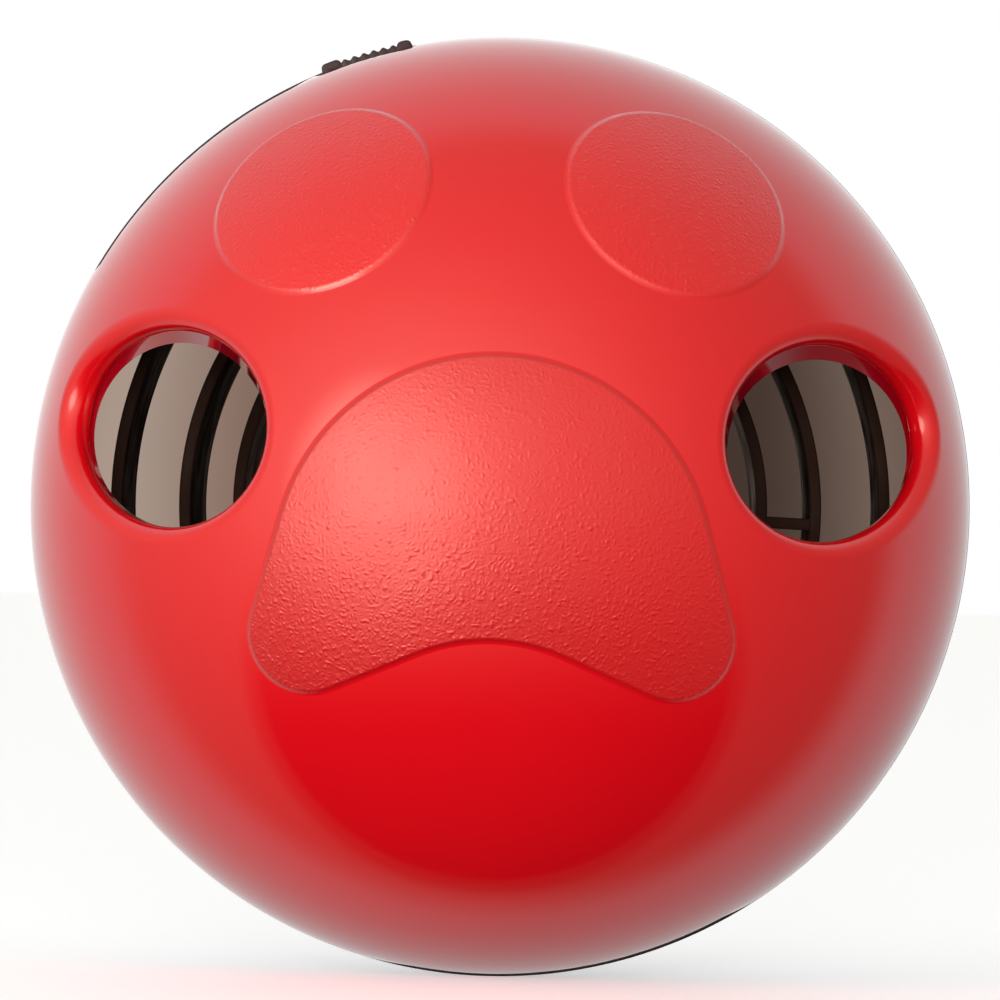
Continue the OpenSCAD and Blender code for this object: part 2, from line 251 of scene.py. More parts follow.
# Camera, from the photograph: the ball is turned a little to the right and leans a little clockwise
CAMERA_DISTANCE = 1100.0
CAMERA_YAW = -0.76
CAMERA_PITCH = 0.04
CAMERA_ROLL = 1.31
CAMERA_SENSOR = 36
CAMERA_CLIP = 10.0
PHOTO_SIZE = 1000
PIXELS_PER_MM = 7.208
BALL_CENTRE_PIXEL = (499.83, 506.94)

# Floor, in metres. The camera sees it with a share of white light of its own.
FLOOR_HALF = 4.0
FLOOR_COLOUR = (0.85, 0.85, 0.9)
FLOOR_ROUGHNESS = 0.6
FLOOR_WHITE = 0.5

# Lamps: name, place and size in metres, and power
LAMPS = (
    ("front_lamp", (0.0, -1.6, 0.1), 0.5, 21.5),
    ("left_lamp", (-1.2, -0.9, 0.1), 0.6, 8.5),
)

# Studio as the ball mirrors it. Places, radii and reaches run from -1 to 1 across the ball, right and up.
# Light of the room: change to the right, change upward, and at the middle
ROOM_FRONT = (-0.16, 0.27, 0.52)
ROOM_FRONT_LEAST = 0.15
ROOM_BACK = (-0.08, 0.22, 0.91)
BACK_CENTRE = (0.008, -0.024)
BACK_EDGE = (0.765, 0.85)
# Soft box with a soft edge, and the glow round it
BOX_CENTRE = (-0.245, 0.01)
BOX_RADII = (0.19, 0.26)
BOX_EDGE = (0.6, 1.15)
BOX_LIGHT = 5.4
GLOW_CENTRE = (-0.163, 0.089)
GLOW_RADII = (0.279, 0.247)
GLOW_LIGHT = 2.5
# Dark gap low in front: its two edges with the share of light that each takes, and the depth it comes in over
GAP_CENTRE = (-0.01, -0.30)
GAP_RADII = (1.03, 1)
GAP_EDGES = ((0.474, 0.491, 0.38), (0.495, 0.526, 0.6))
GAP_DEPTHS = (0.0, 0.5)
# Light on dull surfaces, and the colours of the light from behind and from in front
SOFT_BACK = 0.38
SOFT_FRONT = 0.5
WHITE = (1.0, 1.0, 1.0)
WARM = (1.0, 0.98, 0.8)

# Light through the see-through half, by the direction in which a ray goes on: to the right, away from the
# camera and down. Each step goes from one number to another, and shades are shares of light taken away.
SEEN_EDGE = (0.05, 0.3)
BELOW_EDGE = (0.12, 0.35)
SHADE_LEFT = (-0.095, 0.0, 0.0, 0.88)
SHADE_RIGHT = (0.04, 0.085, 0.0, -0.28)
SHADE_BELOW = (-0.03, 0.03, 0.0, 0.96)
BROWN = (1.0, 0.80, 0.74)
BROWN_LEFT = (-0.075, -0.035)
BROWN_RIGHT = (0.03, 0.08, 0.0, -0.5)


def unit(vectors):
    return vectors / np.linalg.norm(vectors, axis=-1, keepdims=True)


def smooth(share):
    """Goes from 0 to 1 as the share does, level at both ends."""
    return share * share * (3 - 2 * share)


def direction(polar, azimuth):
    """Unit vectors at an angle from the front pole, turned round the ball's axis. Angles in radians."""
    out = np.sin(polar)
    return np.stack([out * np.cos(azimuth), -np.cos(polar), out * np.sin(azimuth)], axis=-1)


def flatten(points):
    """Lays points near the ball out on a plane, so that distances from the front pole stay true."""
    ahead = unit(points)
    polar = np.arccos(np.clip(-ahead[:, 1], -1, 1))
    azimuth = np.arctan2(ahead[:, 2], ahead[:, 0])
    return BALL_R * polar[:, None] * np.stack([np.cos(azimuth), np.sin(azimuth)], axis=-1)


def unflatten(flat):
    """Unit vectors of points on that plane."""
    reach = np.linalg.norm(flat, axis=-1)
    return direction(reach / BALL_R, np.arctan2(flat[:, 1], flat[:, 0]))


def arc(centre, radius, start, end, step):
    """Points on an arc in a plane, about a step apart, without the last one. Angles in radians."""
    count = max(2, round(abs(end - start) * radius / step))
    turn = np.linspace(start, end, count, endpoint=False)
    return np.array(centre) + radius * np.stack([np.cos(turn), np.sin(turn)], axis=-1)


def line(start, end, step):
    """Points on a straight line in a plane, about a step apart, without the last one."""
    start, end = np.array(start), np.array(end)
    count = max(2, round(np.linalg.norm(end - start) / step))
    return start + (end - start) * np.linspace(0, 1, count, endpoint=False)[:, None]


def touching(between, radii):
    """Angle of the normal of a straight line that touches two circles, from the line between their centres
    and the sum or difference of their radii."""
    return math.atan2(between[1], between[0]) + math.acos(radii / np.linalg.norm(between))


def pad_outline(step):
    """Pad of the paw, seen along the ball's axis: a round top, two lobes, an arch and the lines between."""
    top = np.array([0, PAD_TOP - PAD_TOP_R])
    lobe = np.array([PAD_LOBE_X, -PAD_LOBE_Z])
    arch = np.array([0, -PAD_ARCH_Z - PAD_ARCH_R])
    side = touching(lobe - top, PAD_TOP_R - PAD_LOBE_R)
    inner = touching(lobe - arch, PAD_ARCH_R + PAD_LOBE_R)
    normal = np.array([math.cos(side), math.sin(side)])
    inner_normal = np.array([math.cos(inner), math.sin(inner)])
    right = np.concatenate([
        arc(arch, PAD_ARCH_R, math.pi / 2, inner, step),
        line(arch + PAD_ARCH_R * inner_normal, lobe - PAD_LOBE_R * inner_normal, step),
        arc(lobe, PAD_LOBE_R, inner - math.pi, side, step),
        line(lobe + PAD_LOBE_R * normal, top + PAD_TOP_R * normal, step),
        arc(top, PAD_TOP_R, side, math.pi / 2, step),
        [[0, PAD_TOP]],
    ])
    left = right[-2:0:-1] * [-1, 1]
    flat = np.concatenate([right, left])
    front = -np.sqrt(BALL_R ** 2 - (flat ** 2).sum(axis=1))
    return np.stack([flat[:, 0], front, flat[:, 1]], axis=-1)


def toe_outline(at, step):
    """Round toe whose edge is cut along a line that leans away from the ball's axis."""
    lean = math.radians(TOE_LEAN)
    turn = np.linspace(0, 2 * math.pi, round(2 * math.pi * TOE_R / step), endpoint=False)
    height = math.sqrt(BALL_R ** 2 - TOE_OFFSET ** 2)
    along = np.array([math.sin(lean), 0, math.cos(lean)])
    across = np.array([math.cos(lean), 0, -math.sin(lean)])
    base = np.array([TOE_OFFSET, 0, height]) + TOE_R * (
        np.cos(turn)[:, None] * across + np.sin(turn)[:, None] * np.array([0, 1, 0]))
    lead = base @ along
    points = base + (np.sqrt(lead ** 2 - (base ** 2).sum(axis=1) + BALL_R ** 2) - lead)[:, None] * along
    azimuth = math.radians(at)
    return np.stack([
        points[:, 0] * math.cos(azimuth) - points[:, 1] * math.sin(azimuth),
        -points[:, 2],
        points[:, 0] * math.sin(azimuth) + points[:, 1] * math.cos(azimuth),
    ], axis=-1)


class Outline:
    """Closed line on the ball, run anticlockwise, that gives the distance of points to its inside."""

    def __init__(self, points):
        self.points = points
        self.next = np.roll(points, -1, axis=0)
        self.along = unit(self.next - points)
        self.inward = unit(np.cross(unit(points), self.along))
        self.tree = KDTree(len(points))
        for index, point in enumerate(points):
            self.tree.insert(Vector(point), index)
        self.tree.balance()

    def inside(self, points):
        """Distance inside the line, negative outside it, and the direction that it grows in."""
        nearest = np.array([self.tree.find(Vector(p))[1] for p in points])
        best = np.full(len(points), np.inf)
        found = np.zeros(len(points), int)
        for shift in (-1, 0):
            index = (nearest + shift) % len(self.points)
            length = np.linalg.norm(self.next[index] - self.points[index], axis=1)
            share = ((points - self.points[index]) * self.along[index]).sum(axis=1)
            foot = self.points[index] + np.clip(share, 0, length)[:, None] * self.along[index]
            distance = np.linalg.norm(points - foot, axis=1)
            found = np.where(distance < best, index, found)
            best = np.minimum(best, distance)
        inward = self.inward[found]
        side = np.sign(((points - self.points[found]) * inward).sum(axis=1))
        return side * best, inward

    def offset(self, distance):
        """The line moved inward on the ball."""
        at_points = unit(self.inward + np.roll(self.inward, 1, axis=0))
        return BALL_R * unit(self.points + distance * at_points)


paw_lines = [Outline(pad_outline(OUTLINE_STEP))]
paw_lines += [Outline(toe_outline(at, OUTLINE_STEP)) for at in TOE_ANGLES]


def grip_cut(ahead):
    """Depth of the reliefs in the front rim at unit vectors."""
    back = -BALL_R * ahead[:, 1]
    azimuth = np.degrees(np.arctan2(ahead[:, 2], ahead[:, 0])) % 360
    depth = np.zeros(len(ahead))
    end_r = math.sqrt(BALL_R ** 2 - GRIP_LEN ** 2)
    for most, start, full_from, full_to, end in GRIPS:
        rim_r = BALL_R - most
        cone_r = rim_r + (end_r - rim_r) * back / GRIP_LEN
        full = np.maximum(0, np.sqrt(np.maximum(0, BALL_R ** 2 - back ** 2)) - cone_r)
        rise = np.clip((azimuth - start) / (full_from - start), 0, 1)
        fall = np.clip((end - azimuth) / (end - full_to), 0, 1)
        share = np.minimum(rise, fall)
        depth = np.maximum(depth, full * smooth(share))
    return np.where(back < GRIP_LEN, depth, 0)


def relief(ahead):
    """Height over the ball, its slope as vectors, and how much grain there is, at unit vectors."""
    points = BALL_R * ahead
    height = np.zeros(len(points))
    slope = np.zeros((len(points), 3))
    grain = np.zeros(len(points))
    for paw_line in paw_lines:
        distance, inward = paw_line.inside(points)
        share = np.clip(distance / RELIEF_EDGE_W + 0.5, 0, 1)
        height += RELIEF_H * smooth(share)
        slope += (RELIEF_H * 6 * share * (1 - share) / RELIEF_EDGE_W)[:, None] * inward
        grain = np.maximum(grain, share * share)
    cut = grip_cut(ahead)
    height -= cut
    polar = np.arccos(np.clip(-ahead[:, 1], -1, 1))
    azimuth = np.arctan2(ahead[:, 2], ahead[:, 0])
    before, after = (direction(polar + step, azimuth) for step in (-SLOPE_STEP, SLOPE_STEP))
    beside = direction(polar, azimuth - SLOPE_STEP)
    around = direction(np.full(len(polar), math.pi / 2), azimuth + math.pi / 2)
    for near, axis in ((before, unit(after - before)), (beside, around)):
        gap = np.linalg.norm(near - ahead, axis=1) * BALL_R
        slope -= ((cut - grip_cut(near)) / np.maximum(gap, 1e-9))[:, None] * axis
    return height, slope, grain


def hexagonal(spacing, reach):
    """Points spread evenly over a disc."""
    across = np.arange(-reach, reach, spacing)
    rows = np.arange(-reach, reach, spacing * math.sqrt(3) / 2)
    points = np.concatenate([
        np.stack([across + spacing / 2 * (i % 2), np.full(len(across), row)], axis=-1)
        for i, row in enumerate(rows)
    ])
    return points[np.linalg.norm(points, axis=1) < reach - spacing / 2]


def triangulate(loops, fill, clearance):
    """Triangles over a disc that keep the loops' edges. Returns flat points and triangles."""
    tree = KDTree(sum(len(loop) for loop in loops))
    edges = []
    first = 0
    for loop in loops:
        for index, point in enumerate(loop):
            tree.insert(Vector((*point, 0)), first + index)
            edges.append((first + index, first + (index + 1) % len(loop)))
        first += len(loop)
    tree.balance()
    kept = [point for point in fill if tree.find(Vector((*point, 0)))[2] > clearance]
    flat = np.concatenate([*loops, np.array(kept)])
    result = delaunay_2d_cdt([Vector(p) for p in flat], edges, [], 0, MESH_CLOSE, False)
    return np.array([list(v) for v in result[0]]), [list(f) for f in result[2]]


def within(flat, loop):
    """Which points are inside a closed flat loop."""
    x, y = flat[:, 0, None], flat[:, 1, None]
    x0, y0 = loop[:, 0], loop[:, 1]
    x1, y1 = np.roll(x0, -1), np.roll(y0, -1)
    crosses = ((y0 > y) != (y1 > y)) & (x < x0 + (x1 - x0) * (y - y0) / np.where(y1 == y0, 1, y1 - y0))
    return crosses.sum(axis=1) % 2 == 1


class Shell:
    """Points, faces with their finish, shading normals and grain that are gathered for one mesh."""

    def __init__(self):
        self.points, self.normals, self.grain, self.faces = [], [], [], []

    def add(self, points, normals=None, grain=None):
        first = sum(len(p) for p in self.points)
        self.points.append(points)
        self.normals.append(np.zeros_like(points) if normals is None else normals)
        self.grain.append(np.zeros(len(points)) if grain is None else grain)
        return first

    def strip(self, one, other, count, finish="gloss"):
        """Closed band of quads between two rings of points."""
        for i in range(count):
            j = (i + 1) % count
            self.faces.append(([one + i, one + j, other + j, other + i], finish))

    def fill(self, first, triangles):
        self.faces += [([first + i for i in triangle], "gloss") for triangle in triangles]


def link(name, mesh):
    piece = bpy.data.objects.new(name, mesh)
    bpy.context.scene.collection.objects.link(piece)
    return piece


def skin_at(ahead):
    """Points, normals and grain of the front shell's outside at unit vectors."""
    height, slope, grain = relief(ahead)
    return (BALL_R + height)[:, None] * ahead, unit(ahead - slope), grain


def dome_triangles(flat, faces, holes):
    """The triangles of a flat mesh that aren't in a hole."""
    middles = np.array([flat[f].mean(axis=0) for f in faces])
    gone = np.zeros(len(faces), bool)
    for hole in holes:
        gone |= within(middles, hole)
    return [f for f, lost in zip(faces, gone) if not lost]


def lip_rings(at, end_moved):
    """Rings of points and normals from the ball's surface over the lip and down the bore to the inside."""
    azimuth = math.radians(at)
    centre = OPENING_OFFSET * np.array([math.cos(azimuth), 0, math.sin(azimuth)])
    turn = np.linspace(0, 2 * math.pi, LIP_STEPS, endpoint=False)
    outward = np.stack([np.cos(turn), np.zeros(LIP_STEPS), np.sin(turn)], axis=-1)
    roof = (0.5 + 0.5 * np.sin(turn))[:, None] * np.array([0, 0, 1.0])
    moved = np.array([end_moved[0], 0, end_moved[1]])

    def on_ball(ring_r, ball_r, shift=0):
        points = centre + ring_r * outward + shift
        points[:, 1] = -np.sqrt(ball_r ** 2 - (points[:, [0, 2]] ** 2).sum(axis=1))
        return points

    middle = on_ball(OPENING_R + BORE_FLARE + LIP_R, BALL_R - LIP_R, BORE_ROOF_RISE * roof)
    bore_start = middle - LIP_R * outward
    bore_end = on_ball(OPENING_R, COLLAR_IN_R, moved) - [0, COLLAR_EDGE, 0]
    around = np.roll(bore_end, -1, axis=0) - np.roll(bore_end, 1, axis=0)
    wall = unit(np.cross(around, bore_end - bore_start))
    start = unit(middle)
    omega = np.arccos((start * -outward).sum(axis=1))[:, None]
    rings = []
    for share in np.linspace(0, 1, LIP_ROWS + 1):
        normal = (np.sin((1 - share) * omega) * start - np.sin(share * omega) * outward) / np.sin(omega)
        rings.append((middle + LIP_R * normal, normal))
    rings.append((bore_start + LIP_EDGE * unit(bore_end - bore_start), wall))
    rings.append((bore_end, wall))
    rings.append((on_ball(OPENING_R + COLLAR_EDGE, COLLAR_IN_R, moved), None))
    rings.append((on_ball(OPENING_R + COLLAR_W, COLLAR_IN_R), None))
    rings.append((on_ball(OPENING_R + COLLAR_W, FRONT_IN_R), None))
    return rings


def front_dome():
    """One closed mesh of the outside with the paw and the lips, the bores, the inside and the rim."""
    shell = Shell()
    edge_polar = math.acos(RIM_ROUND / BALL_R)
    rim_turn = np.linspace(0, 2 * math.pi, RIM_STEPS, endpoint=False)
    rim_ahead = direction(np.full(RIM_STEPS, edge_polar), rim_turn)
    openings = [lip_rings(at, moved) for at, moved in zip(OPENING_ANGLES, BORE_ENDS_MOVED)]
    paw_rows = [
        flatten(Outline(paw_line.points[::round(EDGE_STEP / OUTLINE_STEP)]).offset(row))
        for paw_line in paw_lines for row in EDGE_ROWS
    ]
    dome_reach = BALL_R * edge_polar
    holes = [flatten(rings[0][0]) for rings in openings]
    loops = [flatten(rim_ahead), *holes, *paw_rows]
    flat, faces = triangulate(loops, hexagonal(OUTSIDE_STEP, dome_reach), OUTSIDE_CLEAR)
    shell.fill(shell.add(*skin_at(unflatten(flat))), dome_triangles(flat, faces, holes))

    inner_holes = [flatten(rings[-1][0]) for rings in openings]
    inner_loops = [flatten(rim_ahead), *inner_holes]
    inner_flat, inner_faces = triangulate(inner_loops, hexagonal(INSIDE_STEP, dome_reach), INSIDE_CLEAR)
    inner_ahead = unflatten(inner_flat)
    inner_triangles = dome_triangles(inner_flat, inner_faces, inner_holes)
    shell.fill(shell.add(FRONT_IN_R * inner_ahead, -inner_ahead), [t[::-1] for t in inner_triangles])

    # Bore walls take their bore's finish, with the painted shade of its dark red
    for rings, bore in zip(openings, OPENING_BORES):
        starts = [shell.add(*ring) for ring in rings]
        for row, (one, other) in enumerate(zip(starts, starts[1:])):
            shell.strip(one, other, LIP_STEPS, bore if row > LIP_ROWS else "lip")

    around = direction(np.full(RIM_STEPS, math.pi / 2), rim_turn)
    edge_points = skin_at(rim_ahead)[0]
    edge_r = np.linalg.norm(edge_points[:, [0, 2]], axis=1)[:, None]
    back = np.array([0, 1.0, 0])
    rings = [(edge_points, None)]
    for turn in np.linspace(0, math.pi / 2, RIM_ROUND_STEPS):
        across = edge_r - RIM_ROUND * (1 - math.cos(turn))
        rings.append((across * around + (math.sin(turn) - 1) * RIM_ROUND * back,
                      math.cos(turn) * around + math.sin(turn) * back))
    rings.append(((FRONT_IN_R + RIM_ROUND) * around, np.tile(back, (RIM_STEPS, 1))))
    rings.append((FRONT_IN_R * rim_ahead, -rim_ahead))
    starts = [shell.add(*ring) for ring in rings]
    for one, other in zip(starts, starts[1:]):
        shell.strip(other, one, RIM_STEPS)
    return shell


def weld(shell):
    """Joins points of the shell's parts that lie together. The first one keeps its normal and its grain."""
    points = np.concatenate(shell.points)
    normals = np.concatenate(shell.normals)
    grain = np.concatenate(shell.grain)
    tree = KDTree(len(points))
    for index, point in enumerate(points):
        tree.insert(Vector(point), index)
    tree.balance()
    same = np.arange(len(points))
    for index, point in enumerate(points):
        same[index] = min(found[1] for found in tree.find_range(Vector(point), WELD_CLOSE))
    kept, renumbered = np.unique(same, return_inverse=True)
    slots = list(FINISHES_AND_PAINTED_SHADE)
    faces, finishes = [], []
    for face, finish in shell.faces:
        corners = list(dict.fromkeys(renumbered[face].tolist()))
        if len(corners) > 2:
            faces.append(corners)
            if grain[kept][corners].mean() > GRAIN_FROM:
                finish = "toes" if points[kept][corners, 2].mean() > TOES_FROM else "pad"
            finishes.append(slots.index(finish))
    return points[kept], normals[kept], grain[kept], faces, finishes


def make_front_shell():
    points, normals, grain, faces, finishes = weld(front_dome())
    mesh = bpy.data.meshes.new("front_dome")
    mesh.from_pydata((points * MM).tolist(), [], faces)
    for finish in FINISHES_AND_PAINTED_SHADE:
        mesh.materials.append(red_plastic(finish))
    mesh.polygons.foreach_set("material_index", finishes)
    mesh.shade_smooth()
    mesh.attributes.new("grain", "FLOAT", "POINT").data.foreach_set("value", grain)
    mesh.normals_split_custom_set_from_vertices(normals.tolist())
    return link("front_dome", mesh)


def make_tongues():
    """The tongues behind the front rim, from the CAD node, without the dome that front_dome stands for."""
    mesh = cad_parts["front_shell"].data.copy()
    mesh.name = "front_tongues"
    close = TONGUE_CLOSE * MM
    work = bmesh.new()
    work.from_mesh(mesh)
    gone = []
    for face in work.faces:
        reach = [v.co.length for v in face.verts]
        back = [v.co.y for v in face.verts]
        on_dome = all(abs(r - FRONT_IN_R * MM) < close for r in reach)
        on_rim = max(back) < close and max(reach) > FRONT_IN_R * MM + close
        if min(back) < TONGUE_FROM * MM or on_dome or on_rim:
            gone.append(face)
    bmesh.ops.delete(work, geom=gone, context="FACES")
    bmesh.ops.remove_doubles(work, verts=work.verts, dist=TONGUE_WELD * MM)
    work.to_mesh(mesh)
    work.free()
    mesh.materials.clear()
    mesh.shade_smooth()
    mesh.set_sharp_from_angle(angle=math.radians(TONGUE_SHARP))
    return link("front_tongues", mesh)


def loft(sections, closed):
    """Mesh through closed sections of as many points each, with flat ends unless it runs round."""
    size = len(sections[0])
    points = np.concatenate(sections)
    count = len(sections)
    faces = []
    for i in range(count if closed else count - 1):
        one, other = i * size, (i + 1) % count * size
        for j in range(size):
            k = (j + 1) % size
            faces.append([one + j, one + k, other + k, other + j])
    if not closed:
        faces.append(list(range(size))[::-1])
        faces.append([(count - 1) * size + j for j in range(size)])
    return points, faces


def section(profile, turn):
    """Points of a profile of (radius, distance behind the rim), turned by an angle in radians."""
    profile = np.array(profile, float)
    return np.stack([profile[:, 0] * math.cos(turn), profile[:, 1], profile[:, 0] * math.sin(turn)], axis=-1)


def spin(profile, start, end, step):
    """Points and faces of a profile turned from one angle to another."""
    closed = end - start >= 360
    count = max(2, round((end - start) / step))
    turns = np.radians(np.linspace(start, end, count + (not closed), endpoint=not closed))
    return loft([section(profile, turn) for turn in turns], closed)


def block(start, end, low, high, width):
    """Points and faces of a bar that runs outward at an angle of 0, between two radii and two depths."""
    sides = (-width / 2, width / 2)
    points = np.array([[x, y, z] for x in (start, end) for y in (low, high) for z in sides])
    faces = [[0, 1, 3, 2], [4, 6, 7, 5], [0, 4, 5, 1], [2, 3, 7, 6], [0, 2, 6, 4], [1, 5, 7, 3]]
    return points, faces


def turned(part, at):
    points, faces = part
    azimuth = math.radians(at)
    cos, sin = math.cos(azimuth), math.sin(azimuth)
    return points @ np.array([[cos, 0, sin], [0, 1, 0], [-sin, 0, cos]]), faces


def joined(name, parts, bevelled=True):
    """One piece from several parts, with its sharp edges rounded if bevelled."""
    mesh = bpy.data.meshes.new(name)
    work = bmesh.new()
    for points, faces in parts:
        verts = [work.verts.new(p) for p in (points * MM).tolist()]
        for face in faces:
            work.faces.new([verts[i] for i in face])
    bmesh.ops.remove_doubles(work, verts=work.verts, dist=JOIN_CLOSE * MM)
    bmesh.ops.dissolve_degenerate(work, edges=work.edges, dist=JOIN_CLOSE * MM)
    bmesh.ops.recalc_face_normals(work, faces=work.faces)
    work.to_mesh(mesh)
    work.free()
    mesh.shade_smooth()
    piece = link(name, mesh)
    if bevelled:
        rounding = piece.modifiers.new("rounded edges", "BEVEL")
        rounding.width = BEVEL_W * MM
        rounding.segments = BEVEL_STEPS
        rounding.limit_method = "ANGLE"
        rounding.angle_limit = math.radians(BEVEL_ANGLE)
        rounding.harden_normals = False
    piece.modifiers.new("even shading", "WEIGHTED_NORMAL")
    return piece


def tab_height(along):
    """Height of the thumb tab over the ball at a distance along it from its middle, and 0 beside it."""
    half = TAB_LEN / 2

    def plateau(start, end, rounding=TAB_END_ROUND):
        edge = np.minimum(along - start, end - along)
        return np.sqrt(1 - (1 - np.clip(edge / rounding, 0, 1)) ** 2)

    middle = (TAB_END_SHORT - TAB_END_LONG) / 2
    rib_half = TAB_RIBS * TAB_RIB_PITCH / 2
    wave = 0.5 + 0.5 * np.cos(2 * math.pi * (along - middle) / TAB_RIB_PITCH + math.pi)
    ribs = np.where(np.abs(along - middle) < rib_half, TAB_RIB_H * wave, 0)
    ends = TAB_END_LONG_H * plateau(half - TAB_END_LONG, half)
    ends = ends + TAB_END_SHORT_H * plateau(-half, TAB_END_SHORT - half)
    return (TAB_FLOOR + ribs) * plateau(-half, half, TAB_EDGE_ROUND) + ends


def make_adjuster():
    """Ring with its thumb tab and the two shutters, as one moulding."""
    half = math.degrees(TAB_LEN / 2 / BALL_R) + TAB_MARGIN
    fine = np.linspace(TAB_AT - half, TAB_AT + half, TAB_STEPS, endpoint=False)
    coarse = np.linspace(TAB_AT + half, TAB_AT - half + 360, RING_STEPS, endpoint=False)
    corner = np.linspace(0, math.pi / 2, RING_ROUND_STEPS)
    cuts = [(RING_ROUND * (1 - math.sin(c)), RING_ROUND * (1 - math.cos(c))) for c in corner]
    sections = []
    for at in np.concatenate([fine, coarse]):
        along = math.radians((at - TAB_AT + 180) % 360 - 180) * BALL_R
        raised = max(0.0, float(tab_height(np.array(along))) - (RING_OUT_R - BALL_R))
        front_r, rear_r = RING_OUT_R + raised, RING_REAR_R + raised
        profile = [(RING_IN_R, RING_FROM)]
        profile += [(front_r - one, RING_FROM + other) for one, other in cuts]
        profile += [(front_r, RING_WIDE_TO)]
        profile += [(rear_r - other, RING_TO - one) for one, other in cuts]
        profile += [(RING_IN_R, RING_TO)]
        sections.append(section(profile, math.radians(at)))
    parts = [loft(sections, True)]
    flange_r = RING_IN_R + FLANGE_OVERLAP
    polar = np.linspace(math.radians(SHUTTER_TIP), math.pi / 2, SHUTTER_STEPS)
    profile = [(SHUTTER_OUT_R * math.sin(p), -SHUTTER_OUT_R * math.cos(p)) for p in polar]
    profile += [(SHUTTER_OUT_R, RING_FROM), (flange_r, RING_FROM)]
    profile += [(flange_r, FLANGE_TO), (SHUTTER_IN_R, FLANGE_TO)]
    profile += [(SHUTTER_IN_R * math.sin(p), -SHUTTER_IN_R * math.cos(p)) for p in polar[::-1]]
    parts += [spin(profile, at - SHUTTER_HALF, at + SHUTTER_HALF, SHUTTER_TURN) for at in SHUTTER_ANGLES]
    return joined("adjuster", parts, bevelled=False)


def make_maze():
    """Three round walls with a doorway each, the dividers between them and the keys on the outer wall."""
    parts = []
    for wall_r, door_at in MAZE_WALLS:
        inner_r = wall_r - MAZE_T
        door_half = math.degrees(math.asin(DOOR_W / 2 / wall_r))
        rear = [math.sqrt(MAZE_LIMIT_R ** 2 - r ** 2) for r in (wall_r, inner_r)]
        profile = [(inner_r, MAZE_FRONT), (wall_r, MAZE_FRONT), (wall_r, rear[0]), (inner_r, rear[1])]
        parts.append(spin(profile, door_at + door_half, door_at + 360 - door_half, WALL_TURN))
    for at, start, end in DIVIDERS:
        points, faces = block(start - MAZE_OVERLAP, end + MAZE_OVERLAP, MAZE_FRONT, 0, MAZE_T)
        rear = np.sqrt(MAZE_LIMIT_R ** 2 - points[:, 0] ** 2)
        points[:, 1] = np.where(points[:, 1] > MAZE_FRONT / 2, MAZE_FRONT, rear)
        parts.append(turned((points, faces), at))
    key = block(MAZE_WALLS[0][0] - MAZE_OVERLAP, KEY_OUT_R, KEY_FROM, KEY_TO, KEY_W)
    parts += [turned(key, at) for at in KEY_ANGLES]
    return joined("maze", parts)


def make_rear_shell():
    """See-through dome with lugs inside its rim."""
    polar_out = np.linspace(math.acos(REAR_FROM / BALL_R), 0, REAR_STEPS)
    polar_in = np.linspace(0, math.acos(REAR_FROM / REAR_IN_R), REAR_STEPS)
    profile = [(BALL_R * math.sin(p), BALL_R * math.cos(p)) for p in polar_out]
    profile += [(REAR_IN_R * math.sin(p), REAR_IN_R * math.cos(p)) for p in polar_in]
    lug_out_r = REAR_IN_R - LUG_INSET
    lug = [(LUG_IN_R, LUG_FROM), (lug_out_r, LUG_FROM), (lug_out_r, LUG_TO), (LUG_IN_R, LUG_TO)]
    parts = [spin(profile, 0, 360, WALL_TURN)]
    parts += [spin(lug, at, at + LUG_ANGLE, LUG_TURN) for at in LUG_STARTS]
    return joined("rear_dome", parts)


class Value:
    """Number at a socket of a node tree, with arithmetic that adds Math nodes."""

    def __init__(self, tree, socket):
        self.tree, self.socket = tree, socket

    def math(self, operation, *others):
        node = self.tree.nodes.new("ShaderNodeMath")
        node.operation = operation
        for socket, value in zip(node.inputs, (self, *others)):
            if isinstance(value, Value):
                self.tree.links.new(value.socket, socket)
            else:
                socket.default_value = value
        return Value(self.tree, node.outputs[0])

    def __add__(self, other):
        return self.math("ADD", other)

    def __sub__(self, other):
        return self.math("SUBTRACT", other)

    def __mul__(self, other):
        return self.math("MULTIPLY", other)

    def rest(self):
        """What is left of 1."""
        return self * -1 + 1

    def step(self, low, high, to_low=0.0, to_high=1.0):
        """Goes smoothly from one number to another as this one goes from low to high."""
        node = self.tree.nodes.new("ShaderNodeMapRange")
        node.interpolation_type = "SMOOTHSTEP"
        names = ("From Min", "From Max", "To Min", "To Max")
        for name, number in zip(names, (low, high, to_low, to_high)):
            node.inputs[name].default_value = number
        self.tree.links.new(self.socket, node.inputs["Value"])
        return Value(self.tree, node.outputs["Result"])

    def to(self, socket):
        self.tree.links.new(self.socket, socket)


def mixed(one, other, share):
    return one + (other - one) * share


def mixed_colour(tree, share, one, other):
    """Mix of two colours. The first may also be a socket."""
    node = tree.nodes.new("ShaderNodeMix")
    node.data_type = "RGBA"
    if isinstance(one, tuple):
        node.inputs["A"].default_value = (*one, 1)
    else:
        tree.links.new(one, node.inputs["A"])
    node.inputs["B"].default_value = (*other, 1)
    share.to(node.inputs["Factor"])
    return node.outputs["Result"]


def noise(tree, scale, detail, kind="FBM"):
    """Noise over an object."""
    place = tree.nodes.new("ShaderNodeTexCoord")
    texture = tree.nodes.new("ShaderNodeTexNoise")
    texture.noise_type = kind
    texture.inputs["Scale"].default_value = scale
    texture.inputs["Detail"].default_value = detail
    tree.links.new(place.outputs["Object"], texture.inputs["Vector"])
    return Value(tree, texture.outputs[0])


def bumped(tree, shader, height, depth):
    """Gives a shader a bump of a depth in millimetres for each 1 of height."""
    node = tree.nodes.new("ShaderNodeBump")
    node.inputs["Distance"].default_value = depth * MM
    height.to(node.inputs["Height"])
    tree.links.new(node.outputs["Normal"], shader.inputs["Normal"])


